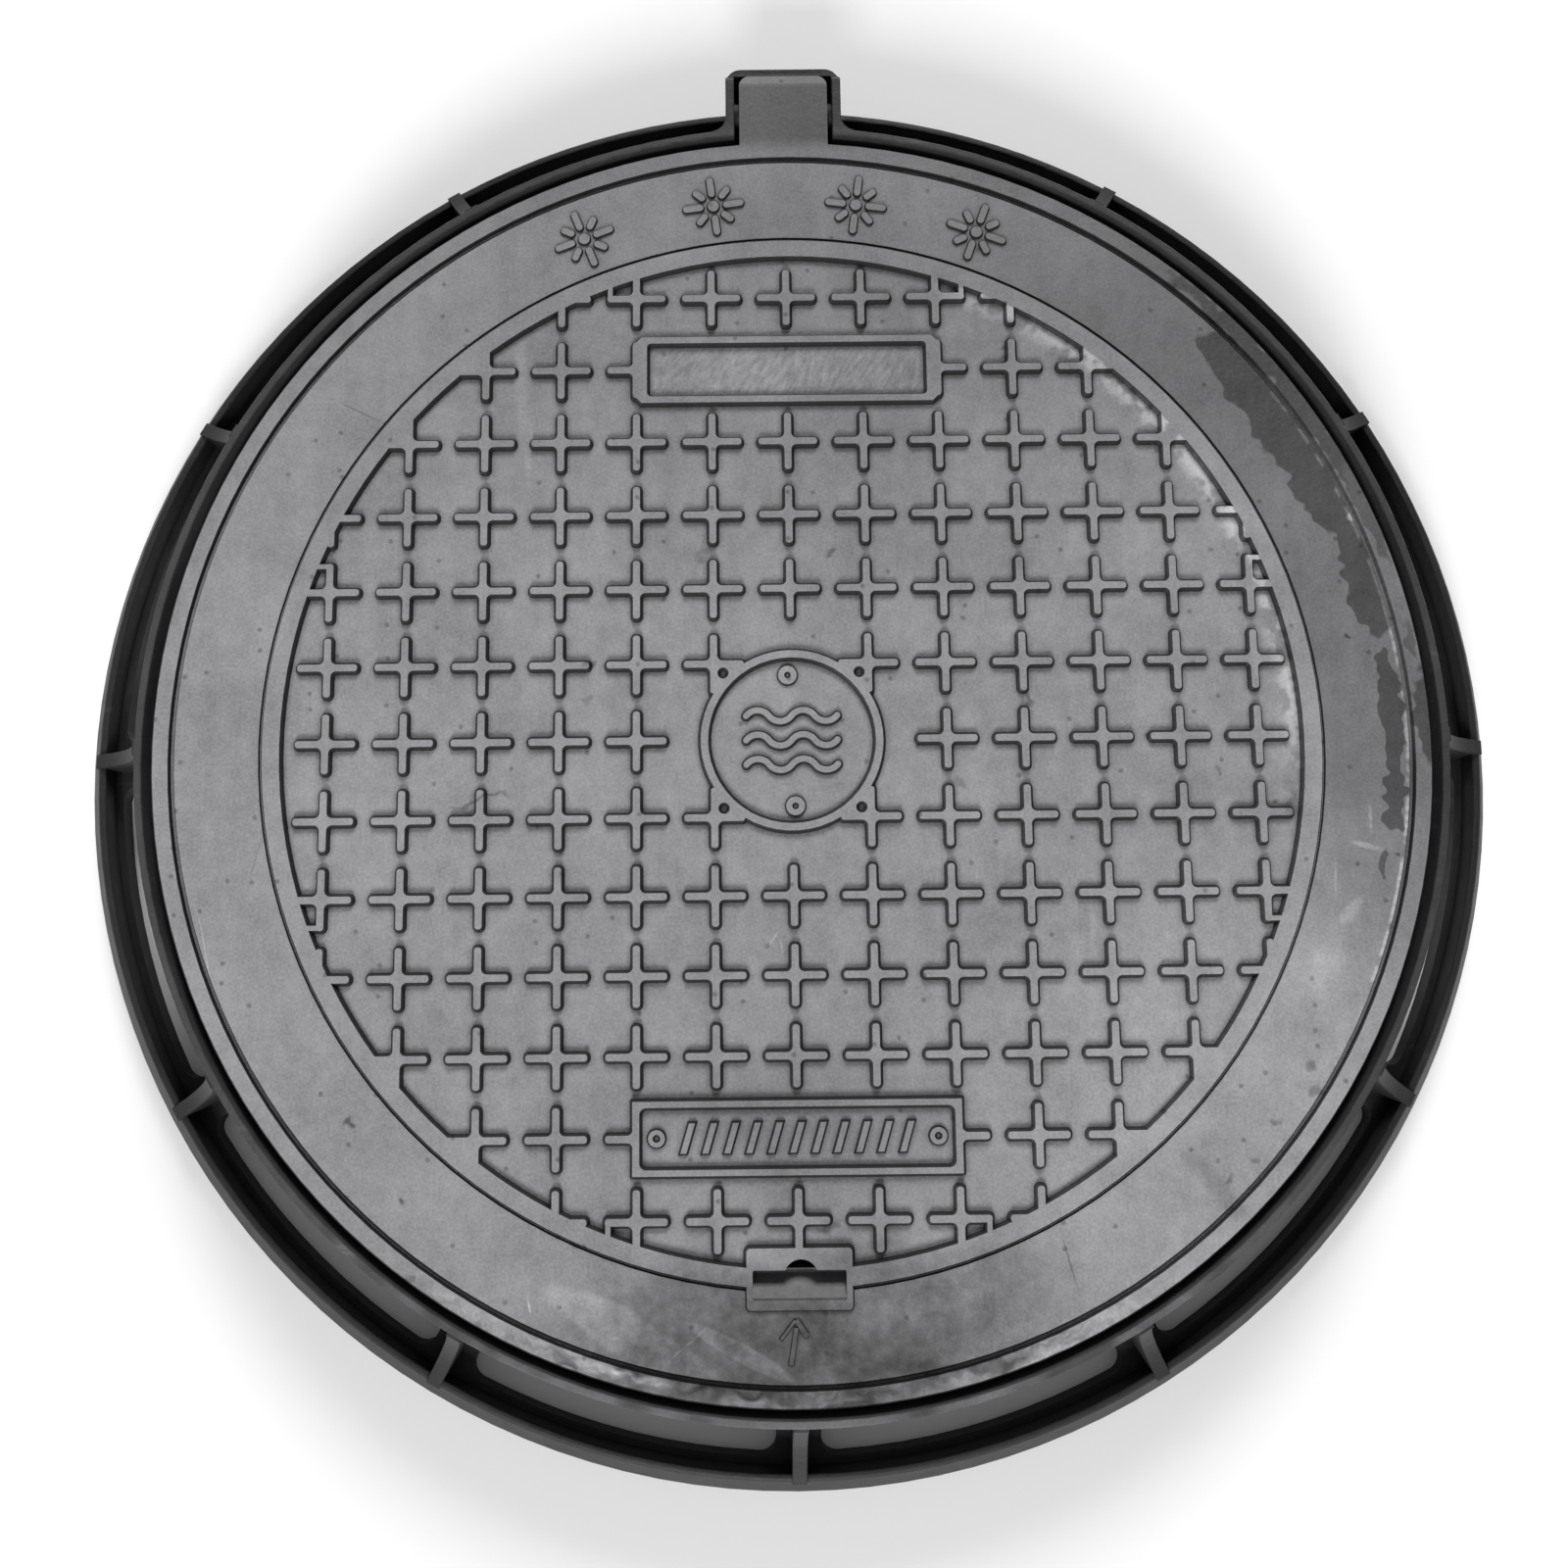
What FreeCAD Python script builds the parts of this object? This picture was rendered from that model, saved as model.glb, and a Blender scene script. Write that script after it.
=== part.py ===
import FreeCAD, Part
import math
import os

# Round hinged access cover in its flanged frame, closed.
# Millimetres. Origin on the cover's axis at the underside of the base flange,
# +Z up, +Y towards the hinge, +X to the right when the hinge is at the back.

V = FreeCAD.Vector
os.makedirs("parts", exist_ok=True)

# ---------------------------------------------------------------- dimensions
H = 80.0                  # base to top of rim and relief
COVER_R = 350.0           # cover, outer radius at the top
SIDE_TAPER = 3.5          # how much smaller the cover is at its seat
SEAT_Z = 34.0             # top of the seat ledge in the frame
GASKET_T = 3.7            # rubber ring on the ledge
COVER_SEAT_Z = 38.0       # underside of the cover's skirt
CLEAR_R = 315.0           # clear opening of the frame

PITCH = 42.5              # grid of the raised crosses
ARM_L = 17.3              # cross arm, centre to tip
ARM_W = 2.8               # half width of an arm
ARM_END_R = 2.5           # rounding at the tip
ARM_IN_R = 2.2            # rounding in the inner corners
FIELD_Z = 77.0            # floor between the crosses
BAND_Z = 78.7             # flat band outside the field
FIELD_R = 279.1           # edge of the field (middle of the wall)
RING_R = 290.3            # outer edge of the raised ring round the field
GROOVE_R = 339.1          # groove between band and rim
TRIM_R = 284.5            # crosses that run into the ring end here
DRAFT = 0.5               # slope of every relief wall (about 27 degrees)
EDGE = 0.45               # rounded-over edge on top of the relief

PLATE_UNDER_Z = 66.5      # underside of the cover plate
RIB_PITCH = 85.0          # square grid of stiffening ribs below
RIB_Z = 42.0              # lower edge of the ribs
SKIRT_R = 336.0           # inner radius of the skirt

WALL_IN_R = 355.3         # frame wall at the top, inner radius
WALL_OUT_R = 359.4        # frame wall at the top, outer radius
FLANGE_R = 414.0          # base flange, outer radius
FLANGE_T = 12.0           # base flange, thickness
LIP_R = 396.5             # inner face of the flange's outer lip
LIP_Z = 26.5              # top of the lip
GUSSET_T = 8.0            # gusset thickness
WIN_R1, WIN_R2 = 370.0, 393.3   # flange windows, inner and outer radius
WIN_SIDE = 12.5           # gusset centre line to window end
WIN_FILLET = 9.0

HINGE_Y, HINGE_Z = 374.0, 66.0  # hinge axis, along X
PIN_R = 7.0
KNUCKLE_R = 12.5
TONGUE_HW = 25.5          # half width of the hinge tongue
TONGUE_END = 393.3
BOX_IN = 28.5             # hinge box, inner half width
BOX_OUT = 33.4            # hinge box, outer half width
BOX_BACK_IN, BOX_BACK_OUT = 397.5, 402.0
BOX_BACK_Z = 69.5         # the back wall stands lower than the cheeks


# ------------------------------------------------------------------- helpers
def rounded_wire(pts, place):
    """Closed wire through 2-D points (a, b, radius); place maps (a, b) to 3-D."""
    n = len(pts)
    edges, first, last = [], None, None
    for i in range(n):
        a, b, r = pts[i]
        pa, pb = pts[i - 1][:2], pts[(i + 1) % n][:2]
        if r <= 0:
            start = end = (a, b)
            mid = None
        else:
            u = (pa[0] - a, pa[1] - b)
            w = (pb[0] - a, pb[1] - b)
            lu, lw = math.hypot(*u), math.hypot(*w)
            u = (u[0] / lu, u[1] / lu)
            w = (w[0] / lw, w[1] / lw)
            half = math.acos(max(-1.0, min(1.0, u[0] * w[0] + u[1] * w[1]))) / 2
            t = r / math.tan(half)
            start = (a + u[0] * t, b + u[1] * t)
            end = (a + w[0] * t, b + w[1] * t)
            bis = (u[0] + w[0], u[1] + w[1])
            lb = math.hypot(*bis)
            k = r / math.sin(half) - r
            mid = (a + bis[0] / lb * k, b + bis[1] / lb * k)
        if last is not None:
            edges.append(Part.LineSegment(place(*last), place(*start)).toShape())
        else:
            first = start
        if mid is not None:
            edges.append(Part.Arc(place(*start), place(*mid), place(*end)).toShape())
        last = end
    edges.append(Part.LineSegment(place(*last), place(*first)).toShape())
    return Part.Wire(edges)


def revolved(pts):
    """Solid of revolution about Z from (radius, z, corner radius) points."""
    wire = rounded_wire(pts, lambda r, z: V(r, 0, z))
    return Part.Face(wire).revolve(V(0, 0, 0), V(0, 0, 1), 360)


def plan_prism(pts, z0, z1):
    """Vertical prism on a plan outline of (x, y, corner radius) points."""
    wire = rounded_wire(pts, lambda x, y: V(x, y, z0))
    return Part.Face(wire).extrude(V(0, 0, z1 - z0))


def side_prism(pts, x0, x1):
    """Prism along X on a (y, z, corner radius) outline."""
    wire = rounded_wire(pts, lambda y, z: V(x0, y, z))
    return Part.Face(wire).extrude(V(x1 - x0, 0, 0))


def loft(wires):
    return Part.makeLoft(wires, True, True)


def relief(wire_at, root, top, sink=1.0):
    """Drafted raised feature with its top edge taken off.

    wire_at(d, z) is the outline, grown by d, at height z. The stated outline
    is the middle of the wall.
    """
    h = top - root
    edge = min(EDGE, 0.3 * h)
    d_root = DRAFT * h / 2
    d_edge = -DRAFT * (h / 2 - edge)
    return loft([
        wire_at(d_root + DRAFT * sink, root - sink),
        wire_at(d_edge, top - edge),
        wire_at(d_edge - 0.8 * edge, top),
    ])


def recess(wire_at, floor, top):
    """Cutter for a drafted recess whose upper edge is taken off."""
    h = top - floor
    edge = min(EDGE, 0.3 * h)
    d_edge = DRAFT * (h / 2 - edge)
    return loft([
        wire_at(-DRAFT * h / 2, floor),
        wire_at(d_edge, top - edge),
        wire_at(d_edge + 0.8 * edge, top),
        wire_at(d_edge + 0.8 * edge + 0.8, top + 1.0),
    ])


def cross_at(cx, cy):
    k = math.sqrt(0.5)

    def wire_at(d, z):
        w, ln, re, rf = ARM_W + d, ARM_L + d, ARM_END_R + d, ARM_IN_R - d

        def p(x, y, q):
            for _ in range(q):
                x, y = -y, x
            return V(cx + x, cy + y, z)

        edges = []
        for q in range(4):
            a, b = p(w + rf, -w, q), p(ln - re, -w, q)
            c, e = p(ln, re - w, q), p(ln, w - re, q)
            f, g = p(ln - re, w, q), p(w + rf, w, q)
            h = p(w, w + rf, q)
            edges += [
                Part.LineSegment(a, b).toShape(),
                Part.Arc(b, p(ln - re + re * k, re - w - re * k, q), c).toShape(),
                Part.LineSegment(c, e).toShape(),
                Part.Arc(e, p(ln - re + re * k, w - re + re * k, q), f).toShape(),
                Part.LineSegment(f, g).toShape(),
                Part.Arc(g, p(w + rf - rf * k, w + rf - rf * k, q), h).toShape(),
            ]
        return Part.Wire(edges)

    return wire_at


def rect_at(cx, cy, hx, hy, r):
    def wire_at(d, z):
        x, y, rr = hx + d, hy + d, max(r + d, 0.0)
        pts = [(cx + x, cy - y, rr), (cx + x, cy + y, rr),
               (cx - x, cy + y, rr), (cx - x, cy - y, rr)]
        return rounded_wire(pts, lambda a, b: V(a, b, z))
    return wire_at


def poly_at(pts):
    """Counter-clockwise polygon; grown with mitred corners."""
    def wire_at(d, z):
        out = []
        n = len(pts)
        for i in range(n):
            (x0, y0), (x1, y1), (x2, y2) = pts[i - 1], pts[i], pts[(i + 1) % n]
            l1, l2 = math.hypot(x1 - x0, y1 - y0), math.hypot(x2 - x1, y2 - y1)
            n1 = ((y1 - y0) / l1, -(x1 - x0) / l1)
            n2 = ((y2 - y1) / l2, -(x2 - x1) / l2)
            s = 1 + n1[0] * n2[0] + n1[1] * n2[1]
            out.append((x1 + d * (n1[0] + n2[0]) / s, y1 + d * (n1[1] + n2[1]) / s, 0))
        return rounded_wire(out, lambda a, b: V(a, b, z))
    return wire_at


def circle_at(cx, cy, r):
    def wire_at(d, z):
        return Part.Wire([Part.Circle(V(cx, cy, z), V(0, 0, 1), r + d).toShape()])
    return wire_at


def slot_at(cx, cy, length, hw, angle):
    """Round-ended bar, length from centre to centre of its ends."""
    c, s = math.cos(math.radians(angle)), math.sin(math.radians(angle))

    def wire_at(d, z):
        r = hw + d

        def p(x, y):
            return V(cx + x * c - y * s, cy + x * s + y * c, z)

        a = length / 2
        return Part.Wire([
            Part.LineSegment(p(-a, -r), p(a, -r)).toShape(),
            Part.Arc(p(a, -r), p(a + r, 0), p(a, r)).toShape(),
            Part.LineSegment(p(a, r), p(-a, r)).toShape(),
            Part.Arc(p(-a, r), p(-a - r, 0), p(-a, -r)).toShape(),
        ])
    return wire_at


def wave_at(cx, cy, half_waves, chord, rise, hw):
    """Wavy round-ended bar made of equal arcs that bow up and down in turn."""
    def wire_at(d, z):
        edges = []
        x = cx - half_waves * chord / 2
        for i in range(half_waves):
            s = rise if i % 2 == 0 else -rise
            edges.append(Part.Arc(V(x, cy, z), V(x + chord / 2, cy + s, z),
                                  V(x + chord, cy, z)).toShape())
            x += chord
        return Part.Wire(edges).makeOffset2D(hw + d, 0, False, False, False)
    return wire_at


# --------------------------------------------------------------------- frame
def make_frame():
    ring = revolved([
        (350.0, 0.0, 1.0),
        (FLANGE_R, 0.0, 0.8),
        (FLANGE_R, 4.0, 2.0),
        (401.5, LIP_Z, 3.0),
        (LIP_R + 1.0, LIP_Z, 1.0),
        (LIP_R + 0.15, FLANGE_T + 1.8, 0),
        (LIP_R - 1.7, FLANGE_T, 0),
        (365.0, FLANGE_T, 4.0),
        (WALL_OUT_R, H, 1.0),
        (WALL_IN_R, H, 0.8),
        (352.6, SEAT_Z, 1.5),
        (CLEAR_R, SEAT_Z, 2.0),
        (CLEAR_R, 23.0, 2.0),
        (346.0, 17.0, 6.0),
    ])

    # gussets from the wall's top down over the lip, one at each 30 degrees,
    # but for the place of the hinge box
    curve = Part.Arc(V(361.5, 0, 77.0), V(374.5, 0, 49.5), V(398.0, 0, 29.0)).toShape()
    path = [V(398.0, 0, 29.0), V(403.5, 0, 25.8), V(406.0, 0, 17.0), V(406.0, 0, 6.0),
            V(357.2, 0, 6.0), V(357.2, 0, 77.0), V(361.5, 0, 77.0)]
    wire = Part.Wire([curve] + [Part.LineSegment(path[i], path[i + 1]).toShape()
                                for i in range(len(path) - 1)])
    gusset = Part.Face(wire).extrude(V(0, GUSSET_T, 0))
    gusset.translate(V(0, -GUSSET_T / 2, 0))
    gussets = []
    for k in range(12):
        if k == 3:
            continue
        g = gusset.copy()
        g.rotate(V(0, 0, 0), V(0, 0, 1), 30 * k)
        gussets.append(g)

    # hinge box: two cheeks and a lower back wall, flared where it meets the wall
    yc = math.sqrt((WALL_OUT_R + 9.0) ** 2 - (BOX_OUT + 9.0) ** 2)
    k = WALL_OUT_R / (WALL_OUT_R + 9.0)
    tx, ty = (BOX_OUT + 9.0) * k, yc * k
    corner = V(BOX_OUT, math.sqrt(WALL_OUT_R ** 2 - BOX_OUT ** 2), 0)
    cen = V(BOX_OUT + 9.0, yc, 0)
    mid = cen + (corner - cen).normalize() * 9.0

    def box_face(z, out, back, rad):
        pts = [(out, yc), (out, back), (-out, back), (-out, yc)]
        q = rad * (1 - math.sqrt(0.5))
        yb = math.sqrt(357.2 ** 2 - out ** 2)
        edges = [
            Part.LineSegment(V(pts[0][0], yc, z), V(out, back - rad, z)).toShape(),
            Part.Arc(V(out, back - rad, z), V(out - q, back - q, z), V(out - rad, back, z)).toShape(),
            Part.LineSegment(V(out - rad, back, z), V(-out + rad, back, z)).toShape(),
            Part.Arc(V(-out + rad, back, z), V(-out + q, back - q, z), V(-out, back - rad, z)).toShape(),
            Part.LineSegment(V(-out, back - rad, z), V(-out, yc, z)).toShape(),
            Part.Arc(V(-out, yc, z), V(-mid.x, mid.y, z), V(-tx, ty, z)).toShape(),
            Part.LineSegment(V(-tx, ty, z), V(-out, yb, z)).toShape(),
            Part.LineSegment(V(-out, yb, z), V(out, yb, z)).toShape(),
            Part.LineSegment(V(out, yb, z), V(tx, ty, z)).toShape(),
            Part.Arc(V(tx, ty, z), V(mid.x, mid.y, z), V(out, yc, z)).toShape(),
        ]
        return Part.Face(Part.Wire(edges))

    box = box_face(6.0, BOX_OUT, BOX_BACK_OUT, 9.0).extrude(V(0, 0, H - 6.0))
    # the cheeks slope down to the back wall at their far end
    box = box.cut(side_prism([(389.0, H + 3.0, 0), (389.0, H, 0), (397.5, BOX_BACK_Z, 3.0),
                              (404.0, BOX_BACK_Z, 0), (404.0, H + 3.0, 0)], -50, 50))

    frame = ring.fuse(gussets + [box])

    # room for the tongue and its knuckle
    slot = Part.makeBox(2 * BOX_IN, BOX_BACK_IN - 340.0, 60.0, V(-BOX_IN, 340.0, 46.0))
    pocket = plan_prism([(BOX_IN, 367.5, 3.0), (BOX_IN, BOX_BACK_IN, 4.0),
                         (-BOX_IN, BOX_BACK_IN, 4.0), (-BOX_IN, 367.5, 3.0)], FLANGE_T, 70.0)
    pin_hole = Part.makeCylinder(PIN_R + 0.05, 120, V(-60, HINGE_Y, HINGE_Z), V(1, 0, 0))

    # windows in the flange between the gussets
    windows = []
    for k in range(12):
        a0, a1 = math.radians(30 * k), math.radians(30 * k + 30)
        s0 = 46.0 if k == 3 else WIN_SIDE
        s1 = 46.0 if k == 2 else WIN_SIDE

        def on(r, ang, off):
            # point at radius r, off to one side of the ray at angle ang
            b = math.asin(off / r)
            return V(r * math.cos(ang + b), r * math.sin(ang + b), -2.0)

        p1, p2 = on(WIN_R1, a0, s0), on(WIN_R2, a0, s0)
        p3, p4 = on(WIN_R2, a1, -s1), on(WIN_R1, a1, -s1)
        am = math.radians(30 * k + 15)
        m2 = V(WIN_R2 * math.cos(am), WIN_R2 * math.sin(am), -2.0)
        m1 = V(WIN_R1 * math.cos(am), WIN_R1 * math.sin(am), -2.0)
        w = Part.Wire([Part.LineSegment(p1, p2).toShape(), Part.Arc(p2, m2, p3).toShape(),
                       Part.LineSegment(p3, p4).toShape(), Part.Arc(p4, m1, p1).toShape()])
        win = Part.Face(w).extrude(V(0, 0, FLANGE_T + 4.0))
        uprights = [e for e in win.Edges
                    if abs(e.Vertexes[0].Point.z - e.Vertexes[1].Point.z) > 1.0]
        windows.append(win.makeFillet(WIN_FILLET, uprights))

    frame = frame.cut([slot, pocket, pin_hole] + windows)
    return frame.removeSplitter()


# --------------------------------------------------------------------- cover
def make_relief():
    parts = []
    top = H
    for i in range(-6, 7):
        for j in range(-6, 7):
            ai, aj = abs(i), abs(j)
            if ai + aj <= 1:
                continue                      # the medallion is here
            if aj == 6 and ai > 3 or ai == 6 and aj > 3:
                continue
            if aj == 5 and (ai < 2 or ai > 4):
                continue                      # a plate is here, or the ring
            if ai == 5 and aj > 4:
                continue
            cx, cy = i * PITCH, j * PITCH
            c = relief(cross_at(cx, cy), FIELD_Z, top)
            if math.hypot(abs(cx) + ARM_L, abs(cy) + ARM_W) > TRIM_R - 2 or \
               math.hypot(abs(cx) + ARM_W, abs(cy) + ARM_L) > TRIM_R - 2:
                c = c.common(Part.makeCylinder(TRIM_R, 20, V(0, 0, 65)))
            if aj == 5 and ai == 2:
                # only the outer arm shows beside the plate
                c = c.common(Part.makeBox(60, 80, 20, V(83.5 if i > 0 else -143.5, cy - 40, 65)))
            parts += c.Solids
            sx, sy = (1 if i > 0 else -1), (1 if j > 0 else -1)
            rim = Part.makeCylinder(TRIM_R, 20, V(0, 0, 65))
            if (ai, aj) in ((5, 4), (4, 5)):
                # solid between the two arms that run into the ring
                b = Part.makeBox(30, 30, top - FIELD_Z + 1.0,
                                 V(cx - (0.5 if sx > 0 else 29.5), cy - (0.5 if sy > 0 else 29.5),
                                   FIELD_Z - 1.0))
                parts += b.common(rim).Solids
            elif (ai, aj) == (6, 2):
                # the side arm's tip is joined to the ring, with a small pocket left
                b = relief(rect_at(cx + sx * 4.0, cy + sy * 14.9, 4.6, 2.2, 0.6), FIELD_Z, top)
                parts += b.common(rim).Solids
            elif (ai, aj) == (2, 6):
                b = relief(rect_at(cx + sx * 14.9, cy + sy * 4.0, 2.2, 4.6, 0.6), FIELD_Z, top)
                parts += b.common(rim).Solids

    # medallion: plain ring, three wavy lines, two small bosses
    h = DRAFT * (top - FIELD_Z) / 2
    e = h - DRAFT * EDGE
    ring = [(45.0 - h - 0.7, FIELD_Z - 1.4, 0), (50.8 + h + 0.7, FIELD_Z - 1.4, 0),
            (50.8 - e, top - EDGE, 0), (50.8 - e - 0.8 * EDGE, top, 0),
            (45.0 + e + 0.8 * EDGE, top, 0), (45.0 + e, top - EDGE, 0)]
    parts.append(revolved(ring))
    # its four corners are solid up to the crosses, each with a small pit
    for x0, px in ((27.5, 37.4), (-43.7, -37.4)):
        for y0, py in ((27.5, 37.4), (-43.7, -37.4)):
            b = Part.makeBox(16.2, 16.2, top - FIELD_Z + 1.0, V(x0, y0, FIELD_Z - 1.0))
            b = b.cut([Part.makeCylinder(48.0, 20, V(0, 0, 65)),
                       Part.makeCone(1.5, 3.1, 2.4, V(px, py, top - 2.4))])
            parts += b.Solids
    for y in (-13.5, 0.0, 13.5):
        parts.append(relief(wave_at(0.0, y, 4, 12.5, 3.1, 2.3), FIELD_Z, 79.0))
    for x, y in ((-2.0, 36.3), (1.5, -36.3)):
        b = relief(circle_at(x, y, 5.6), FIELD_Z, 78.4)
        parts.append(b.cut(Part.makeCone(0.9, 2.0, 1.4, V(x, y, 77.2))))

    # upper plate: raised frame with clipped corners, bare inside
    a, b, c = 88.0, 20.3, 5.5
    outer = relief(poly_at([(a - c, 212.5 - b), (a, 212.5 - b + c), (a, 212.5 + b - c),
                            (a - c, 212.5 + b), (-a + c, 212.5 + b), (-a, 212.5 + b - c),
                            (-a, 212.5 - b + c), (-a + c, 212.5 - b)]), FIELD_Z, top)
    parts.append(outer.cut(recess(rect_at(0, 212.5, 78.2, 14.8, 1.6), FIELD_Z, top)))

    # lower plate: square corners, a row of slanted bars and two small bosses inside
    outer = relief(rect_at(0, -212.5, 88.0, 20.2, 0), FIELD_Z, top)
    parts.append(outer.cut(recess(rect_at(0, -212.5, 82.7, 15.2, 3.0), FIELD_Z, top)))
    for s in (-1, 1):
        b = relief(circle_at(74.5 * s, -212.5, 5.0), FIELD_Z, 78.6)
        parts.append(b.cut(Part.makeCone(1.0, 2.2, 1.5, V(74.5 * s, -212.5, 77.3))))
    for n in range(-5, 6):
        x = n * 11.6
        parts.append(relief(poly_at([(x - 4.7, -220.9), (x - 0.3, -220.9),
                                     (x + 4.7, -204.1), (x + 0.3, -204.1)]), FIELD_Z, 78.9))

    # round the lifting pocket: raised box, one with the ring
    parts.append(relief(rect_at(0, -284.5, 28.5, 16.5, 3.0), FIELD_Z, top))

    # four rosettes on the band, beside the hinge
    for ang in (111.5, 97.5, 82.5, 69.5):
        ca, sa = math.cos(math.radians(ang)), math.sin(math.radians(ang))
        cx, cy = 313.5 * ca, 313.5 * sa
        parts.append(relief(circle_at(cx, cy, 3.6), BAND_Z, top))
        for q in range(8):
            t = ang + 45.0 * q
            long = q % 2 == 0
            r0, r1 = (7.6, 15.6) if long else (8.2, 12.4)
            rm = (r0 + r1) / 2
            parts.append(relief(slot_at(cx + rm * math.cos(math.radians(t)),
                                        cy + rm * math.sin(math.radians(t)),
                                        r1 - r0, 2.3, t), BAND_Z, top))

    # low worn arrow on the band, towards the lifting pocket
    for bar in ([(-6.4, -327.5), (-3.6, -328.0), (-0.6, -309.0), (-3.2, -308.6)],
                [(-2.4, -306.2), (-1.2, -304.6), (4.4, -312.6), (2.6, -313.8)],
                [(-11.0, -314.4), (-9.4, -315.6), (-1.8, -305.8), (-3.0, -304.4)]):
        parts.append(relief(poly_at(bar), BAND_Z, BAND_Z + 0.7))
    return parts


def make_cover():
    taper = SIDE_TAPER / (H - COVER_SEAT_Z)
    h = DRAFT * (H - FIELD_Z) / 2
    e = h - DRAFT * EDGE
    body = revolved([
        (0.0, PLATE_UNDER_Z, 0),
        (SKIRT_R - 7.0, PLATE_UNDER_Z, 0),
        (SKIRT_R - 1.7, PLATE_UNDER_Z - 5.0, 0),
        (SKIRT_R, COVER_SEAT_Z, 1.0),
        (COVER_R - SIDE_TAPER, COVER_SEAT_Z, 1.0),
        (COVER_R - taper * 1.0, H - 1.0, 0),
        (COVER_R - 1.0, H, 0),
        (GROOVE_R + 1.5, H, 0.5),
        (GROOVE_R + 0.7, H - 2.6, 0),
        (GROOVE_R - 0.7, H - 2.6, 0),
        (GROOVE_R - 1.4, BAND_Z, 0.5),
        (RING_R + 1.5, BAND_Z, 0),
        (RING_R + 0.75, BAND_Z - 0.8, 0),
        (RING_R + 0.25, BAND_Z - 0.8, 0),
        (RING_R - 0.55, H - 0.3, 0),
        (RING_R - 0.85, H, 0),
        (FIELD_R + e + 0.8 * EDGE, H, 0),
        (FIELD_R + e, H - EDGE, 0),
        (FIELD_R - h, FIELD_Z, 0),
        (0.0, FIELD_Z, 0),
    ])

    # stiffening ribs on a square grid, left out of the lock's bay
    ribs = []
    for k in range(4):
        u = RIB_PITCH * (k + 0.5)
        ln = math.sqrt((SKIRT_R + 2.0) ** 2 - (u + 5.0) ** 2)
        for sgn in (-1, 1):
            prof = [(sgn * u - 5.0, PLATE_UNDER_Z + 0.8, 0), (sgn * u - 3.6, RIB_Z, 1.0),
                    (sgn * u + 3.6, RIB_Z, 1.0), (sgn * u + 5.0, PLATE_UNDER_Z + 0.8, 0)]
            along_x = side_prism(prof, -ln, ln)
            ribs.append(along_x)
            along_y = along_x.copy()
            along_y.rotate(V(0, 0, 0), V(0, 0, 1), 90)
            ribs.append(along_y)
    ribs = ribs[0].fuse(ribs[1:])
    ribs = ribs.cut(Part.makeBox(76, 130, 40, V(-38, -347, 35)))

    # pads below the lifting pocket and for the lock spring
    pads = [
        plan_prism([(30, -306, 4), (30, -262, 4), (-30, -262, 4), (-30, -306, 4)],
                   60.0, PLATE_UNDER_Z + 0.8),
        plan_prism([(24, -262, 4), (24, -230, 4), (-24, -230, 4), (-24, -262, 4)],
                   58.0, PLATE_UNDER_Z + 0.8),
    ]

    # hinge tongue with its knuckle
    tongue = side_prism([
        (344.0, 57.0, 0), (362.0, 55.0, 4.0), (374.0, 53.5, 6.0), (386.0, 56.0, 9.0),
        (TONGUE_END, 68.0, 3.0), (TONGUE_END, 77.2, 1.6), (384.5, H, 0.6), (344.0, H, 0),
    ], -TONGUE_HW, TONGUE_HW)
    tongue = tongue.common(plan_prism([
        (TONGUE_HW, 340.0, 0), (TONGUE_HW, TONGUE_END, 8.0),
        (-TONGUE_HW, TONGUE_END, 8.0), (-TONGUE_HW, 340.0, 0)], 40.0, H + 5.0))

    cover = body.fuse([ribs, tongue] + pads + make_relief())

    # lifting pocket with a ramp at the front and a pick hole at its back edge
    pocket = side_prism([(-280.0, H + 2.0, 0), (-280.0, 71.0, 1.2), (-282.5, 71.0, 2.0),
                         (-295.2, H - 0.2, 0), (-295.2, H + 2.0, 0)], -24.5, 24.5)
    pocket = pocket.common(plan_prism([(24.5, -296.6, 2.5), (24.5, -279.0, 2.5),
                                       (-24.5, -279.0, 2.5), (-24.5, -296.6, 2.5)],
                                      60.0, H + 5.0))
    pick = Part.makeCylinder(9.0, 40, V(0.8, -283.5, 50)).common(
        Part.makeBox(40, 20, 40, V(-20, -280.4, 50)))
    bore = Part.makeCylinder(PIN_R + 0.1, 120, V(-60, HINGE_Y, HINGE_Z), V(1, 0, 0))
    taps = [Part.makeCylinder(4.05, 14, V(x, -246.0, 56.0)) for x in (-11.0, 11.0)]
    cover = cover.cut([pocket, pick, bore] + taps)
    return cover.removeSplitter()


# -------------------------------------------------------------- small pieces
def make_gasket():
    return revolved([(320.0, SEAT_Z, 0), (345.5, SEAT_Z, 0), (345.5, SEAT_Z + GASKET_T, 1.2),
                     (320.0, SEAT_Z + GASKET_T, 1.2)])


def make_pin():
    ln = 2 * BOX_OUT - 0.6
    pin = Part.makeCylinder(PIN_R, ln, V(-ln / 2, HINGE_Y, HINGE_Z), V(1, 0, 0))
    return pin.makeChamfer(0.8, [ed for ed in pin.Edges if ed.Closed])


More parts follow.
